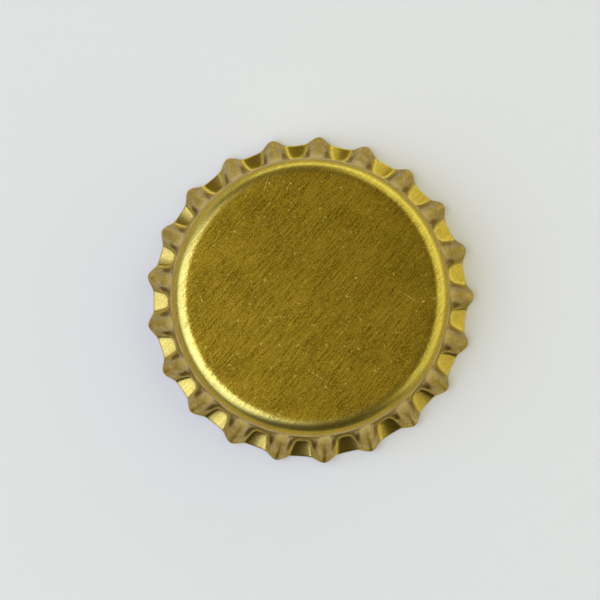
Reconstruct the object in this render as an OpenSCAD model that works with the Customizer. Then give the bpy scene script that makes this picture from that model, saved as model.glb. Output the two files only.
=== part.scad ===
// Crown closure for a bottle: a fluted shell pressed from lacquered tinplate,
// with a sealing liner moulded in under its panel.
// The origin is on the cap's axis, in the plane that its cut edge rests on, with the panel up.

/* [Shell] */
// Height from the cut edge to the outside of the panel
cap_height = 6; // [5.6:0.05:6.6]
// Thickness of the lacquered tinplate
gauge = 0.24; // [0.2:0.01:0.28]
// Bore of the plain wall above the flutes
bore_d = 26.75; // [26.4:0.05:27.2]
// Outside radius of the corner between the panel and the wall
corner_r = 1.75; // [1.4:0.05:2]
// Height of the plain wall between the corner and the flutes
land_h = 0.5; // [0.3:0.1:0.8]

/* [Flutes] */
// Number of flutes round the skirt
flute_count = 21; // [18:1:24]
// Diameter over the flutes' tips at the cut edge
tip_d = 32.1; // [31.6:0.1:32.6]
// Diameter over the valleys between the flutes at the cut edge
valley_d = 30.6; // [29.8:0.1:31]
// Height of the flared lower part of the valleys
flare_h = 0.8; // [0.6:0.1:1.2]
// Length of the soft bend between a valley's upright part and its flare
flare_bend = 0.2; // [0.1:0.05:0.5]
// How far the tips end above the valleys' cut edge
tip_lift = 0.8; // [0:0.1:1]
// Half width of a flute where it starts
neck_half_w = 1.3; // [1:0.05:1.4]
// How much wider each side of a flute is for each millimetre of its height
flank_draft = 0.2; // [0:0.05:0.4]
// Width of a flute's neck against the wall, as a share of its foot
neck_share = 0.55; // [0.55:0.05:1]
// Turn of the first flute from the X axis, in degrees
flute_phase = 1; // [0:0.5:17]

/* [Liner] */
// Diameter of the liner
liner_d = 26.2; // [25.6:0.1:26.4]
// Thickness of the liner's middle
liner_floor = 0.3; // [0.25:0.05:0.4]
// Thickness of the outer sealing bead
seal_h = 1; // [0.8:0.05:1.2]
// Width of the outer sealing bead
seal_w = 2.4; // [2:0.1:2.8]
// Width of the small inner rib
rib_w = 0.6; // [0.5:0.05:0.8]
// Thickness of the liner at the small inner rib
rib_h = 0.6; // [0.5:0.05:0.7]
// Space between the sealing bead and the inner rib
rib_gap = 0.5; // [0.3:0.1:0.8]
// Space between the liner's rim and the inside of the shell's corner
rim_gap = 0.05; // [0.05:0.01:0.1]

/* [Hidden] */
$fn = 180;

bore_r = bore_d / 2;
wall_r = bore_r + gauge;
tip_r = tip_d / 2;
valley_r = valley_d / 2;
liner_r = liner_d / 2;
panel_under = cap_height - gauge;
corner_in_r = corner_r - gauge;
corner_centre_r = wall_r - corner_r;
corner_centre_z = cap_height - corner_r;
land_z = corner_centre_z - land_h;

// The skirt is a grid of columns, closer together on each crest, and of rows, closer together at the edge.
cols_per_flute = 10;
cols = flute_count * cols_per_flute;
rows = 8;
pitch = 360 / flute_count;
crest_crowding = 1.3;
edge_crowding = 1.4;
first_row = 0.04;
crest_curve = 1.15;
scoop_share = 0.1;

// Shares of the way down the skirt: where a flute's neck ends, and how much further its full foot starts.
neck_end = 0.2;
neck_fade = 0.4;

// The skirt's top edge stays inside the plain wall, so that the two join as one sheet.
tuck_up = 0.1;
tuck_in = 0.09;

// Small steps over which the skirt's slope is measured.
probe_turn = 0.02;
probe_down = 0.001;

// The liner's lower edges are softly rounded.
seal_round = 0.3;
rib_round = 0.15;

// A ramp with a soft bend: nothing far below zero, and the value itself far above it.
function soft_ramp(x) = (x + sqrt(x * x + flare_bend * flare_bend)) / 2;

// The slope of that ramp, from 0 to 1.
function soft_slope(x) = (1 + x / sqrt(x * x + flare_bend * flare_bend)) / 2;

// A round-topped hill: 1 at its middle and 0 from its foot outwards.
function hill(x) = x < 1 ? (1 + cos(180 * x)) / 2 : 0;

// The skirt's cut edge is square to its sheet, so its outer corner stands a little higher.
ramp_top = soft_ramp(flare_h - land_z);
ramp_span = soft_ramp(flare_h) - ramp_top;
edge_slope = atan((valley_r - wall_r) * soft_slope(flare_h) / ramp_span);
edge_rise = gauge * sin(edge_slope);
skirt_h = land_z - edge_rise;

// Radius of a valley's floor and of a flute's crest, at a share down the skirt from 0 to 1.
function valley_at(down) =
    wall_r + (valley_r - wall_r) * (soft_ramp(flare_h - land_z * (1 - down)) - ramp_top) / ramp_span;
function crest_at(down) = wall_r + (tip_r - wall_r) * pow(down, crest_curve);

// Half of a flute's width as an angle: it widens as the flute stands further out.
function flank_turn(down) =
    let (half_w = neck_half_w + flank_draft * (crest_at(down) - valley_at(down)))
    min(half_w / valley_at(down) * 180 / PI, pitch / 2);

// How far a flute is drawn in to its neck: wholly in the upper part of the skirt, and not at all at the edge.
function necked(down) = hill(max(down - neck_end, 0) / neck_fade);

// Height of the flute over its valley, from 1 on the crest to 0 in the middle of the valley.
function flute_share(turn, down) =
    let (
        foot = abs(turn) / flank_turn(down),
        flute = (1 - necked(down)) * hill(foot) + necked(down) * hill(foot / neck_share)
    )
    (1 - scoop_share) * flute + scoop_share * hill(abs(turn) / (pitch / 2));

// A point of the skirt's outside, at a turn from the crest of one flute.
function outside(flute, turn, down) =
    let (
        share = flute_share(turn, down),
        r = valley_at(down) + (crest_at(down) - valley_at(down)) * share,
        z = land_z - down * (skirt_h - tip_lift * flute_share(turn, 1)),
        at = flute_phase + flute * pitch + turn
    )
    [r * cos(at), r * sin(at), z];

// The way straight out of the sheet at that point.
function outward(flute, turn, down) =
    let (
        across = outside(flute, turn + probe_turn, down) - outside(flute, turn - probe_turn, down),
        below = outside(flute, turn, min(down + probe_down, 1)) - outside(flute, turn, max(down - probe_down, 0)),
        way = cross(below, across)
    )
    way / norm(way);

function inside(flute, turn, down) = outside(flute, turn, down) - gauge * outward(flute, turn, down);

// Where a column of the grid lies: its flute, and its turn from that flute's crest.
function flute_of(col) = floor(col / cols_per_flute);
function turn_of(col) =
    let (step = 2 * (col % cols_per_flute) / cols_per_flute - 1)
    sign(step) * pow(abs(step), crest_crowding) * pitch / 2;
function down_of(row) = 1 - (1 - first_row) * pow(1 - row / rows, edge_crowding);
function tucked(col, r) =
    let (at = flute_phase + flute_of(col) * pitch + turn_of(col))
    [r * cos(at), r * sin(at), land_z + tuck_up];

module skirt() {
    grid_cols = [0 : cols - 1];
    rings = rows + 2;
    outer = [
        for (col = grid_cols) tucked(col, wall_r - tuck_in),
        for (row = [0 : rows], col = grid_cols) outside(flute_of(col), turn_of(col), down_of(row))
    ];
    inner = [
        for (col = grid_cols) tucked(col, bore_r + tuck_in),
        for (row = [0 : rows], col = grid_cols) inside(flute_of(col), turn_of(col), down_of(row))
    ];
    last = (rings - 1) * cols;
    back = rings * cols;
    faces = [
        for (ring = [0 : rings - 2], col = grid_cols)
            let (a = ring * cols + col, b = ring * cols + (col + 1) % cols)
            each [
                [a, b, b + cols],
                [a, b + cols, a + cols],
                [back + a, back + b + cols, back + b],
                [back + a, back + a + cols, back + b + cols]
            ],
        for (col = grid_cols)
            let (next = (col + 1) % cols)
            each [
                [next, col, back + col],
                [next, back + col, back + next],
                [last + col, last + next, back + last + next],
                [last + col, back + last + next, back + last + col]
            ]
    ];
    polyhedron(points = concat(outer, inner), faces = faces, convexity = 6);
}

// Half sections, with the radius along X and the height along Y.
module panel_section() {
    translate([0, panel_under])
        square([corner_centre_r, gauge]);
    translate([corner_centre_r, corner_centre_z])
        intersection() {
            difference() {
                circle(corner_r);
                circle(corner_in_r);
            }
            square(corner_r);
        }
    translate([bore_r, land_z])
        square([gauge, land_h]);
}

// A bead that hangs from height 0, rounded along its lower edges.
module bead_section(width, height, round) {
    translate([0, round - height])
        square([width, height - round]);
    translate([round, -height])
        square([width - 2 * round, round]);
    for (x = [round, width - round])
        translate([x, round - height])
            circle(round);
}

module liner_section() {
    seal_in_r = liner_r - seal_w;
    intersection() {
        translate([0, panel_under]) {
            translate([0, -liner_floor])
                square([liner_r - seal_round, liner_floor]);
            translate([seal_in_r, 0])
                bead_section(seal_w, seal_h, seal_round);
            translate([seal_in_r - rib_gap - rib_w, 0])
                bead_section(rib_w, rib_h, rib_round);
        }
        union() {
            square([corner_centre_r, cap_height]);
            translate([corner_centre_r, corner_centre_z])
                circle(corner_in_r - rim_gap);
        }
    }
}

module shell() {
    color("darkgoldenrod") {
        rotate_extrude()
            panel_section();
        skirt();
    }
}

module liner() {
    color("gainsboro")
        rotate_extrude()
            liner_section();
}

shell();
liner();
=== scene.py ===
"""A gold-lacquered closure for a bottle, with its sealing liner, on a pale studio table."""

import math
from functools import partial

import bpy
import numpy as np
from mathutils import Matrix, Vector


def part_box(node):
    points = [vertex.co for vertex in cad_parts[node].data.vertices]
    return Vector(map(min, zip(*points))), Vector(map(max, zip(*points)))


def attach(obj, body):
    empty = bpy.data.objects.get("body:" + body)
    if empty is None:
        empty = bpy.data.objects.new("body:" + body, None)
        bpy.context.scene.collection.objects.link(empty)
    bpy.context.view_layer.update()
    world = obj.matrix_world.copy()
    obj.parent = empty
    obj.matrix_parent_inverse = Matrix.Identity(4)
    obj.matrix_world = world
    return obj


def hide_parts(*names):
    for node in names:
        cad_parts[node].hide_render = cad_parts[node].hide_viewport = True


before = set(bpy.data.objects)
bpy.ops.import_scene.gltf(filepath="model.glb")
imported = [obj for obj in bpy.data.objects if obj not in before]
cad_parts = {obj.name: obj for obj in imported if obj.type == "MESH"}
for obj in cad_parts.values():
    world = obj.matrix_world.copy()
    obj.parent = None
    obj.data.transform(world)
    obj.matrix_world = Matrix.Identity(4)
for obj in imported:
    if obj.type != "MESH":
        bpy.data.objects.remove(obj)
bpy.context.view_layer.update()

SHELL_LOW, SHELL_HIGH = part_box("shell")
LINER_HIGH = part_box("liner")[1]

bl_info = {
    "name": "Bottle closure",
    "version": (1, 0, 0),
    "blender": (4, 5, 0),
    "location": "View3D > Sidebar > Closure",
    "description": "Dresses a fluted bottle closure and its liner, and sets them on a studio table",
    "category": "Object",
}

MM = 0.001
# A gap too small to see, which keeps two faces apart.
HAIR = 0.01 * MM
# How far the softboxes stand from the closure.
LIGHT_DISTANCE = 1.2


def linear(hex_colour):
    """An sRGB hex colour as linear red, green, blue and a full alpha."""
    parts = [int(hex_colour[i : i + 2], 16) / 255 for i in (1, 3, 5)]
    return tuple(p / 12.92 if p <= 0.04045 else ((p + 0.055) / 1.055) ** 2.4 for p in parts) + (1.0,)


def length_property(name, description, default):
    """A length in metres, as the sidebar shows it."""
    return bpy.props.FloatProperty(
        name=name, description=description, default=default, min=0, unit="LENGTH", precision=5
    )


def number_property(name, description, default):
    """A plain number, zero or more."""
    return bpy.props.FloatProperty(name=name, description=description, default=default, min=0)


def colour_property(name, description, hex_colour):
    """A colour with its alpha, kept linear."""
    return bpy.props.FloatVectorProperty(
        name=name, description=description, default=linear(hex_colour), size=4, min=0, max=1, subtype="COLOR"
    )


def angle_property(name, description, degrees):
    """An angle, kept in radians."""
    return bpy.props.FloatProperty(
        name=name, description=description, default=math.radians(degrees), unit="ROTATION"
    )


class ShellSizes(bpy.types.PropertyGroup):
    """Sizes of the pressed shell."""

    cap_height: length_property("Height", "From the cut edge to the top of the panel", SHELL_HIGH.z)
    gauge: length_property("Gauge", "Thickness of the tinplate", 0.24 * MM)
    bore_radius: length_property("Bore radius", "Inside of the plain wall", 13.375 * MM)
    corner_radius: length_property("Corner radius", "Outside of the corner round the panel", 1.75 * MM)
    land_height: length_property("Land height", "Plain wall between the corner and the flutes", 0.5 * MM)
    panel_crown: length_property("Panel crown", "How much the panel's middle stands over its rim", 0.12 * MM)
    flute_count: bpy.props.IntProperty(name="Flutes", description="Flutes round the skirt", default=21, min=3)
    tip_radius: length_property("Tip radius", "To the flutes' tips at the cut edge", 16.05 * MM)
    valley_radius: length_property("Valley radius", "To the valleys at the cut edge", 15.3 * MM)
    flare_height: length_property("Flare height", "Flared lower part of the valleys", 0.8 * MM)
    flare_bend: length_property("Flare bend", "Soft bend between a valley's wall and its flare", 0.2 * MM)
    tip_lift: length_property("Tip lift", "How far the tips end above the valleys' edge", 0.8 * MM)
    neck_half_width: length_property("Neck half width", "Half width of a flute where it starts", 1.3 * MM)
    flank_draft: number_property("Flank draft", "Extra half width for each unit of a flute's height", 0.2)
    neck_share: number_property("Neck share", "Width of a flute's neck as a share of its foot", 0.55)
    neck_end: number_property("Neck end", "Share of the way down the skirt where the necks end", 0.2)
    neck_fade: number_property("Neck fade", "Further share over which a neck widens to its foot", 0.4)
    crest_curve: number_property("Crest curve", "Power by which the crests swing out", 1.15)
    scoop_share: number_property("Scoop share", "Share of a flute's height in the valley's soft dish", 0.2)
    flute_phase: angle_property("First flute", "Turn of the first flute from the X axis", 1)
    crest_lean: angle_property("Crest lean", "Twist of the flutes between the edge and the wall", 1)
    flute_wander: angle_property("Flute wander", "How far a flute strays from its even place", 0.35)
    tip_wander: length_property("Tip wander", "How much shorter a flute's tip may be", 0.05 * MM)
    edge_round: length_property("Edge round", "Rounding of the sheared edge", 0.04 * MM)
    dimple_side: length_property("Dimple side", "From a flute's crest to the dimple on each side", 0.9 * MM)
    dimple_radius: length_property("Dimple radius", "From the axis to the necks' dimples", 14.15 * MM)
    # The dark pool in a dimple is painted shade in that recess.
    dimple_shade_width: length_property("Dimple width", "Width of the dark pool in a dimple", 0.46 * MM)
    dimple_shade_length: length_property("Dimple length", "Length of the dark pool in a dimple", 0.9 * MM)


class ShellFinish(bpy.types.PropertyGroup):
    """Colours of the lacquered tinplate."""

    gold: colour_property("Gold", "Lacquer where it lies thin and clean", "#ffed84")
    olive: colour_property("Olive", "Lacquer down in the grain", "#7d6a20")
    thick: colour_property("Thick lacquer", "What the flat panel's thicker lacquer lets through", "#fff4ae")
    shoulder: colour_property("Shoulder lacquer", "What the shoulder's lacquer lets through", "#dfc955")
    stretched: colour_property("Stretched lacquer", "What the valleys' lacquer lets through", "#e9dfc6")
    rubbed: colour_property("Rubbed lacquer", "What the flutes' dull lacquer lets through", "#d2be86")
    painted_highlight: colour_property("Worn rim", "Lacquer worn pale round the shoulder's rim", "#dfcd92")
    # Painted highlight: a pale line round the shoulder's rim, standing in for the light the corner reflects.
    scuffed: colour_property("Scuffed lacquer", "Lacquer scuffed pale in patches on the flutes", "#e9d69c")
    # Painted highlight: paler lacquer on the flutes' necks, standing in for the light they catch.
    neck: colour_property("Worn neck", "Lacquer worn pale on the flutes' necks", "#e3c668")
    # This colour is both random stains on the flutes and painted shade in the dimples beside their necks.
    stain_and_dimple_shade: colour_property("Pooled lacquer", "Lacquer pooled thick in the dimples", "#6e5300")
    tin: colour_property("Tin", "Bare tin in scratches", "#ffe98c")
    inside: colour_property("Inside", "Varnish on the inner face", "#cdb98a")
    steel: colour_property("Steel", "Sheared edge", "#8f877c")
    grain_angle: angle_property("Grain angle", "Direction of the sheet's rolled grain from the X axis", 49)
    grain_length: length_property("Grain length", "Length of a streak of the grain", 2.2 * MM)
    grain_width: length_property("Grain width", "Width of a streak of the grain", 0.05 * MM)


class LinerSizes(bpy.types.PropertyGroup):
    """Sizes of the moulded liner."""

    radius: length_property("Radius", "Outside of the liner", LINER_HIGH.x)
    floor: length_property("Floor", "Thickness of the middle", 0.3 * MM)
    seal_height: length_property("Seal height", "Thickness of the sealing bead", 1.0 * MM)
    seal_width: length_property("Seal width", "Width of the sealing bead", 2.4 * MM)
    seal_round: length_property("Seal round", "Rounding of the sealing bead", 0.3 * MM)
    rib_height: length_property("Rib height", "Thickness at the inner rib", 0.6 * MM)
    rib_width: length_property("Rib width", "Width of the inner rib", 0.6 * MM)
    rib_round: length_property("Rib round", "Rounding of the inner rib", 0.15 * MM)
    rib_gap: length_property("Rib gap", "Space between the bead and the rib", 0.5 * MM)
    rim_gap: length_property("Rim gap", "Space to the inside of the shell's corner", 0.05 * MM)


class LinerFinish(bpy.types.PropertyGroup):
    """Colours of the liner's polymer."""

    body: colour_property("Body", "The polymer", "#dcdcd6")
    shade: colour_property("Shade", "Its faint flow marks", "#cfd0c8")


class StageLook(bpy.types.PropertyGroup):
    """The table, the lights and the camera."""

    card: colour_property("Card", "The table's pale card", "#eef0f4")
    room: colour_property("Room", "The dim room overhead", "#a69330")
    far_room: colour_property("Far room", "The room overhead on the far side from the key", "#57491a")
    dusk: colour_property("Dusk", "The room above its far wall", "#6c5b1d")
    shade: colour_property("Shade", "The room's dark side", "#3f3416")
    horizon: colour_property("Horizon", "The pale wall round the table", "#fdfdbc")
    key: colour_property("Key colour", "The key softbox and its middle", "#d6e1ff")
    fill: colour_property("Fill colour", "The fill softbox", "#fbf9bc")
    key_radiance: number_property("Key", "Brightness of the key softbox", 2.4)
    heart_radiance: number_property("Heart", "Brightness of the key's middle", 1.2)
    wing_radiance: number_property("Key wing", "Brightness of the key's low wing", 1.0)
    fill_radiance: number_property("Fill", "Brightness of the fill softbox and of its low wing", 0.9)
    camera_distance: length_property("Camera distance", "From the closure to the camera", 0.6)
    view_width: length_property("View width", "Width that the camera sees at the table", 58.65 * MM)
    camera_tilt: angle_property("Camera tilt", "Camera's lean from straight overhead", 4.55)
    camera_side: angle_property("Camera side", "Direction from the axis to the camera", 264)


def grid_mesh(name, rings, blank, top_pole=None, bottom_pole=None):
    """A closed-round mesh from an array of rings by columns by 3, with a fan to each pole that is given.
    Each face joins a ring to the next one and a column to the next one, and the last column to the first.
    blank holds each point's place on the flat sheet, which becomes the UV map."""
    count, columns = rings.shape[:2]
    points = rings.reshape(-1, 3)
    places = blank.reshape(-1, 2)
    here = np.arange(columns)
    following = (here + 1) % columns
    starts = np.arange(count - 1)[:, None] * columns
    quads = np.stack(
        [starts + here, starts + columns + here, starts + columns + following, starts + following], axis=-1
    ).reshape(-1, 4)
    fans = []
    for pole, ring, flip in ((top_pole, 0, False), (bottom_pole, count - 1, True)):
        if pole is None:
            continue
        middle = np.full(columns, len(points))
        points = np.vstack([points, pole])
        places = np.vstack([places, np.zeros(2)])
        pair = (ring * columns + following, ring * columns + here)
        first, second = pair if flip else pair[::-1]
        fans.append(np.stack([middle, first, second], axis=-1))
    mesh = bpy.data.meshes.new(name)
    faces = quads.tolist() + [f for fan in fans for f in fan.tolist()]
    mesh.from_pydata(points.tolist(), [], faces)
    mesh.polygons.foreach_set("use_smooth", np.ones(len(mesh.polygons), bool))
    corners = np.empty(len(mesh.loops), np.int32)
    mesh.loops.foreach_get("vertex_index", corners)
    uv = mesh.uv_layers.new(name="blank")
    uv.data.foreach_set("uv", places[corners].astype(np.float32).ravel())
    mesh.update()
    return mesh


def add_piece(name, mesh, materials):
    """Puts a finished mesh into the scene at the origin and hangs it on the part's one body."""
    for material in materials:
        mesh.materials.append(material)
    piece = bpy.data.objects.new(name, mesh)
    bpy.context.scene.collection.objects.link(piece)
    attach(piece, "root")
    return piece


def soft_ramp(x, bend):
    """Nothing far below zero, and x itself far above it: half the sum of x and of the root of x squared plus
    bend squared."""
    return (x + np.sqrt(x * x + bend * bend)) / 2


def soft_slope(x, bend):
    """The slope of the soft ramp, from 0 to 1."""
    return (1 + x / np.sqrt(x * x + bend * bend)) / 2


def hill(x):
    """A round-topped hill: one plus the cosine, halved, from 1 in its middle to 0 at its foot."""
    return (1 + np.cos(np.pi * np.clip(x, 0, 1))) / 2


class Skirt:
    """The fluted skirt as a function of two parameters: the place round it, counted in flutes,
    and the share of the way down it."""

    def __init__(self, sizes):
        self.sizes = sizes
        self.pitch = 2 * math.pi / sizes.flute_count
        self.wall = sizes.bore_radius + sizes.gauge
        self.top = sizes.cap_height - sizes.corner_radius - sizes.land_height
        bend = sizes.flare_bend
        self.ramp_top = soft_ramp(sizes.flare_height - self.top, bend)
        self.ramp_span = soft_ramp(sizes.flare_height, bend) - self.ramp_top
        rise = (sizes.valley_radius - self.wall) * soft_slope(sizes.flare_height, bend) / self.ramp_span
        self.height = self.top - sizes.gauge * math.sin(math.atan(rise))
        # Each flute strays by a slow drift round the ring, a cosine, and by chance.
        draws = np.random.default_rng(21)
        drift = np.cos(self.pitch * np.arange(sizes.flute_count))
        self.wander = sizes.flute_wander * (drift - 0.5 + draws.uniform(-0.8, 0.8, sizes.flute_count))
        self.shortfall = sizes.tip_wander * draws.uniform(0, 1, sizes.flute_count)

    def round_about(self, values, place):
        """A value that each flute has, eased between flutes by a cosine."""
        low = np.floor(place).astype(int)
        ease = (1 - np.cos(np.pi * (place - low))) / 2
        count = len(values)
        return values[low % count] * (1 - ease) + values[(low + 1) % count] * ease

    def share(self, place, down):
        """Height of the flutes over the valleys: 1 on a crest, 0 in the middle of a valley. It is a cosine
        hill over the flute's foot, and a share of it a wider one over the whole pitch. In the upper skirt the
        foot draws in to a narrow neck, and leaves a dimple on each side of it."""
        sizes = self.sizes
        turn = np.abs(place - np.round(place)) * self.pitch
        valley = self.valley(down)
        half_width = sizes.neck_half_width + sizes.flank_draft * (self.crest(down, 0) - valley)
        flank = np.minimum(half_width / valley, self.pitch / 2)
        dish = sizes.scoop_share
        necked = hill((down - sizes.neck_end) / sizes.neck_fade)
        flute = (1 - necked) * hill(turn / flank) + necked * hill(turn / (flank * sizes.neck_share))
        return (1 - dish) * flute + dish * hill(turn / (self.pitch / 2))

    def valley(self, down):
        """Radius of the valleys' floor: a soft ramp from the wall to the cut edge."""
        sizes = self.sizes
        ramp = soft_ramp(sizes.flare_height - self.top * (1 - down), sizes.flare_bend) - self.ramp_top
        return self.wall + (sizes.valley_radius - self.wall) * ramp / self.ramp_span

    def crest(self, down, shortfall):
        """Radius of the crests: a power of the way down, from the wall to the tips."""
        reach = self.sizes.tip_radius - shortfall - self.wall
        return self.wall + reach * np.power(down, self.sizes.crest_curve)

    def outside(self, place, down):
        """A point of the skirt's outside. The radius goes from valley to crest by the flutes' share, and the
        height falls evenly from the wall to the cut edge, which rises towards each tip."""
        sizes = self.sizes
        share = self.share(place, down)
        valley = self.valley(down)
        crest = self.crest(down, self.round_about(self.shortfall, place))
        radius = valley + (crest - valley) * share
        fall = self.height - sizes.tip_lift * self.share(place, np.ones_like(down))
        angle = (
            sizes.flute_phase
            + place * self.pitch
            + self.round_about(self.wander, place) * down
            + sizes.crest_lean * (1 - down)
        )
        return np.stack([radius * np.cos(angle), radius * np.sin(angle), self.top - down * fall], axis=-1)

    def frame_at(self, place, down):
        """The unit ways straight out of the sheet and down along it, from small differences."""
        turn_step, down_step = 0.001, 0.001
        across = self.outside(place + turn_step, down) - self.outside(place - turn_step, down)
        higher = self.outside(place, np.maximum(down - down_step, 0))
        below = self.outside(place, np.minimum(down + down_step, 1)) - higher
        out = np.cross(below, across)
        out /= np.linalg.norm(out, axis=-1, keepdims=True)
        along = np.cross(across, out)
        along /= np.linalg.norm(along, axis=-1, keepdims=True)
        return out, along


def revolve(profile, angles):
    """Carries a list of radius and height pairs round the axis, one ring for each pair."""
    pairs = np.array(profile)
    radius, height = pairs[:, 0:1], pairs[:, 1:2]
    flat = np.zeros_like(angles)[None, :]
    return np.stack([radius * np.cos(angles), radius * np.sin(angles), height + flat], axis=-1)


def arc(centre, radius, start, stop, steps):
    """Radius and height pairs on an arc, with angles from the axis's direction, in degrees."""
    turns = np.radians(np.linspace(start, stop, steps))
    return [(centre[0] + radius * math.sin(t), centre[1] + radius * math.cos(t)) for t in turns]


def flat_places(rings, start):
    """Each point's place on the flat blank, in millimetres: the way from the pole along its own column is the
    distance, and its angle about the axis is the direction."""
    steps = np.linalg.norm(np.diff(rings, axis=0), axis=-1)
    way = start + np.vstack([np.zeros(rings.shape[1]), np.cumsum(steps, axis=0)])
    angle = np.arctan2(rings[..., 1], rings[..., 0])
    return np.stack([way * np.cos(angle), way * np.sin(angle)], axis=-1) / MM


def sheared_edge(skirt, place):
    """Rings round the sheared edge, from the sheet's outside to its inside: a quarter turn of a small circle
    at each of its two corners, in the plane that is square to the sheet."""
    gauge, rounding = skirt.sizes.gauge, skirt.sizes.edge_round
    foot = np.ones((1, len(place)))
    edge = skirt.outside(place[None, :], foot)[0]
    out, along = (way[0] for way in skirt.frame_at(place[None, :], foot))
    rings = []
    for depth, side, turns in ((rounding, 1, (25, 50, 90)), (gauge - rounding, -1, (90, 50, 25))):
        for turn in np.radians(turns):
            swing = side * out * np.cos(turn) + along * np.sin(turn)
            rings.append(edge - depth * out - rounding * along + rounding * swing)
    return np.array(rings)


def mark_lacquer(mesh, skirt, rings, first, place, down):
    """Keeps three numbers at each point for the lacquer. first is the skirt's first ring, and place and down
    are its grids. crest is the flutes' share. drawn goes from 0 at the panel's rim to 1 at the tips, by the
    distance from the axis, and is 0 on the inside. The third is the distance from the middle of the nearest
    dimple's oval of painted shade: 1 on the oval's outline, and at most 3."""
    sizes = skirt.sizes
    last = first + len(down)
    radius = np.hypot(rings[..., 0], rings[..., 1])
    centre_r = skirt.wall - sizes.corner_radius
    crest, drawn = np.zeros((2, *rings.shape[:2]))
    crest[first:last] = skirt.share(place, down)
    drawn[:last] = np.clip((radius[:last] - centre_r) / (sizes.tip_radius - centre_r), 0, 1)
    far = 3.0
    dimple_shade = np.full(rings.shape[:2], far)
    aside = np.abs(place - np.round(place)) * skirt.pitch * sizes.dimple_radius - sizes.dimple_side
    beyond = radius[first:last] - sizes.dimple_radius
    oval = (2 * aside / sizes.dimple_shade_width) ** 2 + (2 * beyond / sizes.dimple_shade_length) ** 2
    dimple_shade[first:last] = np.minimum(np.sqrt(oval), far)
    for name, values, pole in (("crest", crest, 0), ("drawn", drawn, 0), ("dimple_shade", dimple_shade, far)):
        attribute = mesh.attributes.new(name, "FLOAT", "POINT")
        attribute.data.foreach_set("value", np.append(values.ravel(), [pole, pole]).astype(np.float32))


def shell_mesh(sizes):
    """The shell as one closed skin: panel, corner, wall and skirt on the outside, round the sheared edge, and
    back up the inside, a sheet's thickness in. The panel's height falls with the square of the radius."""
    skirt = Skirt(sizes)
    columns_per_flute, skirt_rows, inner_rows = 32, 38, 22
    columns = sizes.flute_count * columns_per_flute
    place = np.arange(columns) / columns_per_flute
    angles = place * skirt.pitch + (sizes.flute_phase + sizes.crest_lean)
    wall, gauge, corner, crown = skirt.wall, sizes.gauge, sizes.corner_radius, sizes.panel_crown
    centre = (wall - corner, sizes.cap_height - crown - corner)
    slope = 2 * crown / centre[0]
    panel_edge = centre[0] + corner * math.sin(slope)
    panel_shares = (0.1, 0.3, 0.5, 0.65, 0.8, 0.9, 0.96)
    land = [skirt.top + (centre[1] - skirt.top) * share for share in (0.66, 0.33)]

    def crowned(share, drop):
        return (panel_edge * share, sizes.cap_height - drop - crown * share * share)

    outer_profile = [crowned(share, 0) for share in panel_shares]
    outer_profile += arc(centre, corner, math.degrees(slope), 90, 22)
    outer_profile += [(wall, height) for height in land]
    inner_profile = [(sizes.bore_radius, height) for height in land[::-1]]
    inner_profile += arc(centre, corner - gauge, 90, math.degrees(slope), 10)
    inner_profile += [crowned(share, gauge) for share in panel_shares[::-1]]

    # The grids stop just above the edge's rounding.
    edge_share = 1 - 1.5 * sizes.edge_round / skirt.height
    outer_grid = np.broadcast_arrays(place, edge_share * np.linspace(0, 1, skirt_rows + 1)[:, None])
    inner_grid = np.broadcast_arrays(place, edge_share * np.linspace(1, 0, inner_rows + 1)[:, None])
    edge_rings = sheared_edge(skirt, place)
    outside_rings = np.concatenate([revolve(outer_profile, angles), skirt.outside(*outer_grid), edge_rings])
    inner_skirt = skirt.outside(*inner_grid) - gauge * skirt.frame_at(*inner_grid)[0]
    inside_rings = np.concatenate([inner_skirt, revolve(inner_profile, angles)])
    rings = np.concatenate([outside_rings, inside_rings])
    start = outer_profile[0][0]
    blank = np.concatenate([flat_places(outside_rings, start), flat_places(inside_rings[::-1], start)[::-1]])
    top = np.array([0, 0, sizes.cap_height])
    mesh = grid_mesh("pressed_shell", rings, blank, top, top - [0, 0, gauge])

    # The materials are lacquer on the outside, varnish on the inside, and bare steel on the sheared edge. The
    # last two strips are the fans at the outer and the inner pole.
    plain = len(outer_profile)
    strips = [0] * (plain + skirt_rows + 1) + [2] * (len(edge_rings) + 1) + [1] * (len(inside_rings) - 2)
    mesh.polygons.foreach_set("material_index", np.repeat([*strips, 0, 1], columns).astype(np.int32))
    mark_lacquer(mesh, skirt, rings, plain, *outer_grid)
    return mesh


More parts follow.
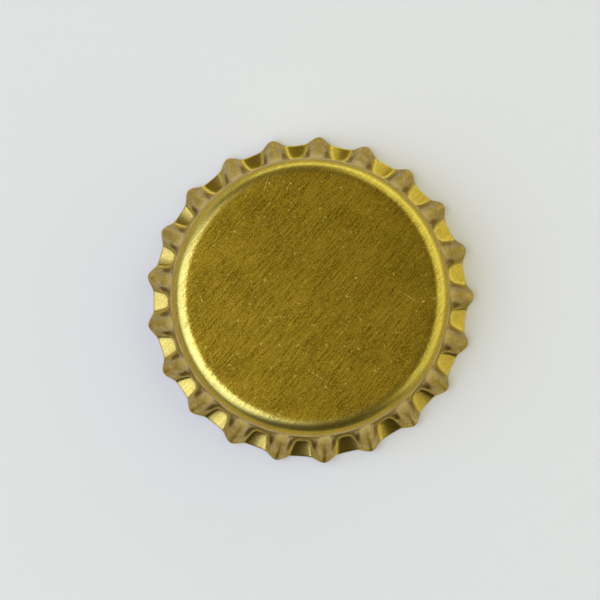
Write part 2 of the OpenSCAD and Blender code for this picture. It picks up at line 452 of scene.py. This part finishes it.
def liner_mesh(sizes, shell):
    """The liner as one closed revolved skin: from the middle of its lower face out over the rib and the
    sealing bead, round the rim and back along the panel. The bead's face has four low ripples, a cosine."""
    under = shell.cap_height - shell.gauge
    corner_in = shell.corner_radius - shell.gauge - sizes.rim_gap
    centre_r = shell.bore_radius + shell.gauge - shell.corner_radius
    centre_z = shell.cap_height - shell.panel_crown - shell.corner_radius
    floor = under - sizes.floor
    seal_in = sizes.radius - sizes.seal_width
    rib_out = seal_in - sizes.rib_gap
    rib_in = rib_out - sizes.rib_width
    rib_low, seal_low = under - sizes.rib_height, under - sizes.seal_height
    fillet, rib_round, seal_round = 0.1 * MM, sizes.rib_round, sizes.seal_round
    ripples, ripple_height = 4, 0.02 * MM

    profile = [(rib_in * share, floor) for share in (0.1, 0.3, 0.5, 0.7, 0.85, 0.95)]
    profile += arc((rib_in - fillet, floor - fillet), fillet, 0, 90, 4)
    profile += arc((rib_in + rib_round, rib_low + rib_round), rib_round, -90, -180, 6)
    profile += arc((rib_out - rib_round, rib_low + rib_round), rib_round, 180, 90, 6)
    profile += arc((rib_out + fillet, floor - fillet), fillet, -90, 0, 4)
    profile += arc((seal_in - fillet, floor - fillet), fillet, 0, 90, 4)
    profile += arc((seal_in + seal_round, seal_low + seal_round), seal_round, -90, -180, 8)
    inner, outer = seal_in + seal_round, sizes.radius - seal_round
    for share in np.linspace(0.04, 0.96, 40):
        ripple = ripple_height * (1 - math.cos(2 * math.pi * ripples * share))
        profile.append((inner + (outer - inner) * share, seal_low + ripple))
    profile += arc((outer, seal_low + seal_round), seal_round, 180, 90, 8)
    rim_turn = math.degrees(math.asin(min((sizes.radius - centre_r) / corner_in, 1)))
    profile += arc((centre_r, centre_z), corner_in, rim_turn, 2, 10)
    for share in (0.95, 0.8, 0.5, 0.2):
        profile.append((centre_r * share, under - HAIR - shell.panel_crown * share * share))

    angles = np.linspace(0, 2 * math.pi, 240, endpoint=False)
    rings = revolve(profile, angles)[::-1]
    places = rings[..., :2] / MM
    return grid_mesh("sealing_liner", rings, places, np.array([0, 0, under - HAIR]), np.array([0, 0, floor]))


def add_node(tree, kind, inputs=(), output=0, **settings):
    """Adds a node and gives back one of its outputs, or all of them where output is None. The inputs are in
    order or by name, each a value or another node's output, and the settings are the node's own."""
    node = tree.nodes.new("ShaderNode" + kind)
    for name, value in settings.items():
        setattr(node, name, value)
    for name, value in inputs.items() if isinstance(inputs, dict) else enumerate(inputs):
        if isinstance(value, bpy.types.NodeSocket):
            tree.links.new(value, node.inputs[name])
        else:
            node.inputs[name].default_value = value
    return node.outputs if output is None else node.outputs[output]


def new_material(name):
    """An empty node material, and the function that adds a node to it."""
    material = bpy.data.materials.new(name)
    material.use_nodes = True
    material.node_tree.nodes.clear()
    return material, partial(add_node, material.node_tree)


def weigh(node, *parts):
    """The sum of some values, each times its own weight, so that one pair gives their product. Both are
    numbers or outputs."""
    total = 0.0
    for value, weight in parts:
        total = node("Math", [value, weight, total], operation="MULTIPLY_ADD")
    return total


def layered(node, colour, *layers):
    """Colours laid over a first one. A layer is its share and its colour, which are mixed in unless it names
    another way."""
    for share, over, *how in layers:
        way = how[0] if how else "MIX"
        colour = node("Mix", {0: share, 6: colour, 7: over}, 2, data_type="RGBA", blend_type=way)
    return colour


def darker(colour, share):
    """A share of a linear colour, with a full alpha."""
    return tuple(part * share for part in colour[:3]) + (1.0,)


def on_blank(node, length, width, angle):
    """Places on the flat blank, in units of that length along the angle and of that width across it, both in
    millimetres."""
    return node(
        "Mapping",
        {"Vector": node("UVMap", uv_map="blank"), "Rotation": (0, 0, angle), "Scale": (length, width, 1)},
        vector_type="TEXTURE",
    )


def sheet_noise(node, length, width, angle, detail=2.0):
    """Noise in streaks of that length and width in millimetres, at that angle on the flat blank."""
    places = on_blank(node, length, width, angle)
    shape = {"Vector": places, "Scale": 1.0, "Detail": detail, "Roughness": 0.55}
    return node("TexNoise", shape, "Fac", noise_dimensions="2D")


def sheet_spangle(node, size, angle):
    """An even random value for each small cell of that size in millimetres, at that angle on the blank."""
    cells = {"Vector": on_blank(node, size, size, angle), "Scale": 1.0}
    return node("SeparateColor", [node("TexVoronoi", cells, "Color", voronoi_dimensions="2D")], "Red")


def scattered_marks(node, spacing, length, width, share):
    """Small marks on the flat blank, in millimetres: in that share of the cells of a Voronoi pattern, one
    pointed oval of that length and width, turned at random about the cell's own point."""
    places = node("UVMap", uv_map="blank")
    cells = node("TexVoronoi", {"Vector": places, "Scale": 1 / spacing}, None, voronoi_dimensions="2D")
    middle, chance = cells["Position"], node("SeparateColor", [cells["Color"]], None)
    turn = {"Vector": places, "Center": middle, "Angle": weigh(node, (chance["Red"], 2 * math.pi))}
    turned = node("VectorRotate", turn, rotation_type="Z_AXIS")
    offset = node("VectorMath", [turned, middle], operation="SUBTRACT")
    scaled = node("VectorMath", [offset, (2 / length, 2 / width, 0)], operation="MULTIPLY")
    distance = node("VectorMath", [scaled], "Value", operation="LENGTH")
    mark = node("MapRange", [distance, 0.5, 1.0, 1.0, 0.0])
    return weigh(node, (mark, node("MapRange", [chance["Green"], 1 - share, 1 - share + 0.01])))


def lacquered_tinplate(finish):
    """Tinplate, cold rolled with a fine grain, roller-coated with gold lacquer and stoved: a metal mirror
    blurred along the grain, under a thin glossy coat. Pressing stretches the lacquer smooth and thin over the
    corner and the skirt, and handling leaves scuffs, specks and short pale scratches. Its colour also holds
    painted highlights on the flutes' necks and round the shoulder's rim, and painted shade in the dimples."""
    material, node = new_material("gold_lacquer_on_rolled_tinplate")
    # drawn is 0 on the flat panel, 0.42 on the plain wall and 1 at the flutes' tips. crest is 0 in the
    # valleys and 1 on the flutes, and the third is 1 on the outline of a dimple's oval of painted shade.
    drawn, crest, dimple_shade = (
        node("Attribute", output="Fac", attribute_name=name) for name in ("drawn", "crest", "dimple_shade")
    )

    # Real rolled grain is a few hundredths of a millimetre wide, and is drawn as coarse as it needs to show.
    angle, length, width = finish.grain_angle, finish.grain_length / MM, finish.grain_width / MM
    fine = node("MapRange", [sheet_noise(node, length, width, angle, 0.0), 0.42, 0.58])
    long = node("MapRange", [sheet_noise(node, 3 * length, 1.5 * width, angle, 0.0), 0.42, 0.58])
    spangle = node("MapRange", [sheet_spangle(node, 1.3 * width, angle), 0.25, 0.75])
    cloud = node("MapRange", [sheet_noise(node, 5.0, 3.0, angle, 1.0), 0.35, 0.65])
    # The last weight brings their mean to about nothing.
    tone = weigh(node, (fine, 0.52), (long, 0.18), (spangle, 0.75), (cloud, 0.2), (1.0, -0.815))
    # The grain is plain on the flat panel, and fades to a middle tone where the sheet is drawn.
    shown = node("MapRange", [drawn, 0.0, 0.2, 1.0, 0.3])
    tone = node("Math", [tone, shown, 0.5], operation="MULTIPLY_ADD")

    # The lacquer is thickest on the flat panel, stretched thin on the skirt, and rubbed dull on the flutes.
    panel = node("MapRange", [drawn, 0.0, 0.15, 1.0, 0.0])
    flute = node("MapRange", [crest, 0.2, 0.34])
    skirt = layered(node, finish.stretched, (flute, finish.rubbed))
    skirt = layered(node, finish.shoulder, (node("MapRange", [drawn, 0.42, 0.46]), skirt))

    # It is scuffed and stained on the flutes in patches about 0.7 mm across. Paler necks on the flutes and a
    # pale line round the shoulder's rim are painted highlights, and dark brown ovals in the dimples beside
    # the necks are painted shade.
    where = node("TexCoord", output="Object")
    patch = node("TexNoise", {"Vector": where, "Scale": 1.5 / MM, "Detail": 2.0, "Roughness": 0.6}, "Fac")
    scuff = weigh(node, (flute, node("MapRange", [patch, 0.5, 0.62, 0.0, 0.2])))
    stain = weigh(node, (flute, node("MapRange", [patch, 0.36, 0.5, 0.14, 0.0])))
    # Painted highlight on the flutes' necks.
    neck = weigh(node, (flute, node("MapRange", [drawn, 0.44, 0.62, 0.6, 0.0])))
    # Painted highlight: a pale line round the shoulder's rim, just above the plain wall.
    above_wall = node("MapRange", [drawn, 0.415, 0.418, 0.6, 0.06])
    rim = weigh(node, (node("MapRange", [drawn, 0.395, 0.412]), above_wall))

    # Specks and nicks, one or two tenths of a millimetre across, and longer hair scratches, each kind by its
    # spacing, length, width and share of the cells.
    marks = 0.0
    for mark in ((0.7, 0.2, 0.14, 0.2), (2.2, 0.4, 0.16, 0.35), (6.0, 3.0, 0.07, 0.35)):
        marks = node("Math", [marks, scattered_marks(node, *mark)], operation="MAXIMUM")
    marks = weigh(node, (marks, node("MapRange", [drawn, 0.0, 0.35, 0.85, 0.3])))

    colour = layered(
        node,
        finish.olive,
        (tone, finish.gold),
        (panel, finish.thick, "MULTIPLY"),
        (node("MapRange", [drawn, 0.24, 0.34]), skirt, "MULTIPLY"),
        (scuff, finish.scuffed),
        (stain, finish.stain_and_dimple_shade),
        # Painted highlight on the flutes' necks.
        (neck, finish.neck),
        # Painted highlight round the shoulder's rim.
        (rim, finish.painted_highlight),
        # Painted shade: dark brown ovals in the dimples beside the flutes' necks.
        (node("MapRange", [dimple_shade, 0.5, 1.25, 0.9, 0.0]), finish.stain_and_dimple_shade),
        (marks, finish.tin),
    )
    gloss = node("MapRange", [tone, 0.0, 1.0, 0.37, 0.27])
    smoothed = node("MapRange", [drawn, 0.4, 0.45])
    relief = {"Strength": weigh(node, (shown, 0.01)), "Distance": 0.01 * MM, "Height": fine}
    shader = node(
        "BsdfPrincipled",
        {
            "Base Color": colour,
            "Metallic": 1.0,
            "Roughness": weigh(node, (gloss, 1.0), (marks, 0.2), (smoothed, -0.04)),
            "Coat Weight": 0.15,
            "Coat Roughness": 0.15,
            "Coat IOR": 1.5,
            "Normal": node("Bump", relief),
        },
    )
    node("OutputMaterial", [shader], None)
    return material


def varnished_inside(finish):
    """The same tinplate under the thin amber varnish of a closure's inside: duller and paler than outside."""
    material, node = new_material("amber_varnish_on_rolled_tinplate")
    grain = sheet_noise(node, finish.grain_length / MM, finish.grain_width / MM, finish.grain_angle)
    streak = node("MapRange", [grain, 0.35, 0.65])
    shader = node(
        "BsdfPrincipled",
        {
            "Base Color": layered(node, darker(finish.inside, 0.8), (streak, finish.inside)),
            "Metallic": 1.0,
            "Roughness": node("MapRange", [streak, 0.0, 1.0, 0.42, 0.34]),
            "Coat Weight": 0.6,
            "Coat Roughness": 0.2,
            "Normal": node("Bump", {"Strength": 0.1, "Distance": 0.02 * MM, "Height": grain}),
        },
    )
    node("OutputMaterial", [shader], None)
    return material


def sheared_steel(finish):
    """Low-carbon steel where the blanking die sheared it: bare, matt grey, with a torn grain of a tenth of a
    millimetre."""
    material, node = new_material("bare_sheared_steel")
    grain = sheet_noise(node, 0.1, 0.1, 0.0)
    torn = node("MapRange", [grain, 0.35, 0.65])
    shader = node(
        "BsdfPrincipled",
        {
            "Base Color": layered(node, darker(finish.steel, 0.6), (torn, finish.steel)),
            "Metallic": 1.0,
            "Roughness": node("MapRange", [grain, 0.3, 0.7, 0.4, 0.55]),
        },
    )
    node("OutputMaterial", [shader], None)
    return material


def moulded_polymer(finish):
    """Soft sealing polymer, punched hot into the shell: satin, milky, with faint ring-shaped flow marks."""
    material, node = new_material("punch_moulded_sealing_polymer")
    flow = {"Vector": node("TexCoord", output="Object"), "Scale": 0.2 / MM, "Distortion": 3.0, "Detail": 2.0}
    rings = node("TexWave", flow, "Fac", wave_type="RINGS", rings_direction="Z")
    shader = node(
        "BsdfPrincipled",
        {
            "Base Color": layered(node, finish.body, (rings, finish.shade)),
            "Roughness": node("MapRange", [rings, 0.0, 1.0, 0.38, 0.46]),
            "Subsurface Weight": 0.2,
            "Subsurface Scale": 0.5 * MM,
            "Normal": node("Bump", {"Strength": 0.05, "Distance": 0.02 * MM, "Height": rings}),
        },
    )
    node("OutputMaterial", [shader], None)
    return material


def pale_card(look):
    """White card. A fifth of what the eye, a mirror or glass sees of it is an even white, and the rest keeps
    the shadows."""
    material, node = new_material("matt_white_card")
    path = node("LightPath", output=None)
    seen = node("Math", [path["Is Camera Ray"], path["Is Glossy Ray"]], operation="MAXIMUM")
    seen = node("Math", [seen, path["Is Transmission Ray"]], operation="MAXIMUM")
    card = node("BsdfDiffuse", {"Color": look.card})
    white = node("Emission", {"Color": (1, 1, 1, 1), "Strength": 1.0})
    node("OutputMaterial", [node("MixShader", [weigh(node, (seen, 0.2)), card, white])], None)
    return material


def studio_world(look):
    """A dim room, lighter overhead on the key's side, and a pale wall near the horizon that the side of
    minus Y lacks."""
    world = bpy.data.worlds.new("studio_room")
    world.use_nodes = True
    world.node_tree.nodes.clear()
    node = partial(add_node, world.node_tree)
    east, north, up = node("SeparateXYZ", [node("TexCoord", output="Generated")], None)
    # Each pair of weights is the cosine and sine of a level direction: 20, 70 and 60 degrees from the X axis.
    far = node("MapRange", [weigh(node, (east, 0.94), (north, 0.34)), -0.07, 0.12])
    back = node("MapRange", [weigh(node, (east, 0.34), (north, 0.94)), -0.2, 0.2])
    wall = node("MapRange", [weigh(node, (east, 0.5), (north, 0.87)), -0.6, 0.9])
    low = node("MapRange", [up, 0.2, 0.42, 1.0, 0.0])
    sky = layered(
        node,
        layered(node, look.shade, (back, look.dusk)),
        (node("MapRange", [up, 0.7, 0.96]), layered(node, look.room, (far, look.far_room))),
        (weigh(node, (low, wall)), look.horizon),
    )
    node("OutputWorld", [node("Background", {"Color": sky, "Strength": 1.0})], None)
    return world


def add_softbox(name, azimuth, zenith, width, height, radiance, colour):
    """A rectangular softbox that faces the closure from that azimuth and that angle from overhead, in
    degrees. Its power is the wanted radiance times pi times its area."""
    turn, tip = math.radians(azimuth), math.radians(zenith)
    way = Vector((math.cos(turn) * math.sin(tip), math.sin(turn) * math.sin(tip), math.cos(tip)))
    lamp = bpy.data.lights.new(name, "AREA")
    lamp.shape = "RECTANGLE"
    lamp.color = colour[:3]
    lamp.size, lamp.size_y = width, height
    lamp.energy = radiance * math.pi * width * height
    holder = bpy.data.objects.new(name, lamp)
    holder.location = way * LIGHT_DISTANCE
    holder.rotation_euler = way.to_track_quat("Z", "Y").to_euler()
    bpy.context.scene.collection.objects.link(holder)


def add_camera(look):
    """A long lens over the closure, leaning a little from overhead, with the view's top towards plus Y."""
    side, tilt = look.camera_side, look.camera_tilt
    back = Vector((math.cos(side) * math.sin(tilt), math.sin(side) * math.sin(tilt), math.cos(tilt)))
    right = (Vector((1, 0, 0)) - back * back.x).normalized()
    up = back.cross(right)
    # The middle of the view is a point a millimetre beside the axis, low in the skirt.
    aim = Vector((-0.99 * MM, -0.01 * MM, 0.8 * MM))
    lens = bpy.data.cameras.new("camera")
    lens.lens = lens.sensor_width * look.camera_distance / look.view_width
    lens.clip_start, lens.clip_end = 0.05, 20
    camera = bpy.data.objects.new("camera", lens)
    camera.matrix_world = Matrix.Translation(aim + back * look.camera_distance) @ Matrix(
        (right, up, back)
    ).transposed().to_4x4()
    bpy.context.scene.collection.objects.link(camera)
    bpy.context.scene.camera = camera


class CLOSURE_OT_shell(bpy.types.Operator):
    """Press the fluted shell and lacquer it"""

    bl_idname = "closure.shell"
    bl_label = "Pressed shell"

    def execute(self, context):
        scene = context.scene
        finish = scene.closure_shell_finish
        materials = [lacquered_tinplate(finish), varnished_inside(finish), sheared_steel(finish)]
        shell = add_piece("pressed_shell", shell_mesh(scene.closure_shell), materials)
        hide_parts("shell")
        return {"FINISHED"}


class CLOSURE_OT_liner(bpy.types.Operator):
    """Mould the sealing liner under the panel"""

    bl_idname = "closure.liner"
    bl_label = "Sealing liner"

    def execute(self, context):
        scene = context.scene
        mesh = liner_mesh(scene.closure_liner, scene.closure_shell)
        liner = add_piece("sealing_liner", mesh, [moulded_polymer(scene.closure_liner_finish)])
        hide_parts("liner")
        return {"FINISHED"}


class CLOSURE_OT_stage(bpy.types.Operator):
    """Set the table, the softboxes, the room and the camera"""

    bl_idname = "closure.stage"
    bl_label = "Stage"

    def execute(self, context):
        scene = context.scene
        look = scene.closure_stage
        scene.view_settings.view_transform = "Standard"
        scene.world = studio_world(look)
        angles = np.linspace(0, 2 * math.pi, 96, endpoint=False)
        table_top = SHELL_LOW.z - HAIR
        rings = revolve([(r, table_top) for r in (0.05, 0.2, 1, 4)], angles)
        card = grid_mesh("card", rings, rings[..., :2], np.array([0, 0, table_top]))
        card.materials.append(pale_card(look))
        floor = bpy.data.objects.new("card", card)
        scene.collection.objects.link(floor)
        add_softbox("key_softbox", 196, 44, 1.62, 1.3, look.key_radiance, look.key)
        add_softbox("key_heart", 205, 38, 0.6, 0.5, look.heart_radiance, look.key)
        add_softbox("key_wing", 152, 61, 0.45, 0.4, look.wing_radiance, look.key)
        add_softbox("fill_softbox", 14, 55, 2.76, 1.12, look.fill_radiance, look.fill)
        add_softbox("fill_wing", 88, 77, 1.0, 0.34, look.fill_radiance, look.fill)
        add_camera(look)
        return {"FINISHED"}


class CLOSURE_PT_panel(bpy.types.Panel):
    """Lists the closure's pieces in the sidebar"""

    bl_idname = "CLOSURE_PT_panel"
    bl_label = "Closure"
    bl_space_type = "VIEW_3D"
    bl_region_type = "UI"
    bl_category = "Closure"

    def draw(self, context):
        for operator in OPERATORS:
            self.layout.operator(operator.bl_idname)
        for name in SETTINGS:
            group = getattr(context.scene, name)
            box = self.layout.box()
            for key in group.__annotations__:
                box.prop(group, key)


OPERATORS = (CLOSURE_OT_shell, CLOSURE_OT_liner, CLOSURE_OT_stage)
SETTINGS = {
    "closure_shell": ShellSizes,
    "closure_shell_finish": ShellFinish,
    "closure_liner": LinerSizes,
    "closure_liner_finish": LinerFinish,
    "closure_stage": StageLook,
}


def register():
    """Adds the settings, the operators and the panel."""
    for group in SETTINGS.values():
        bpy.utils.register_class(group)
    for name, group in SETTINGS.items():
        setattr(bpy.types.Scene, name, bpy.props.PointerProperty(type=group))
    for part in (*OPERATORS, CLOSURE_PT_panel):
        bpy.utils.register_class(part)


def unregister():
    """Takes them away again, the last one first."""
    for part in (CLOSURE_PT_panel, *reversed(OPERATORS)):
        bpy.utils.unregister_class(part)
    for name, group in SETTINGS.items():
        delattr(bpy.types.Scene, name)
        bpy.utils.unregister_class(group)


def main():
    """Builds the closure and its stage."""
    register()
    bpy.ops.closure.shell()
    bpy.ops.closure.liner()
    bpy.ops.closure.stage()


if __name__ == "__main__":
    main()
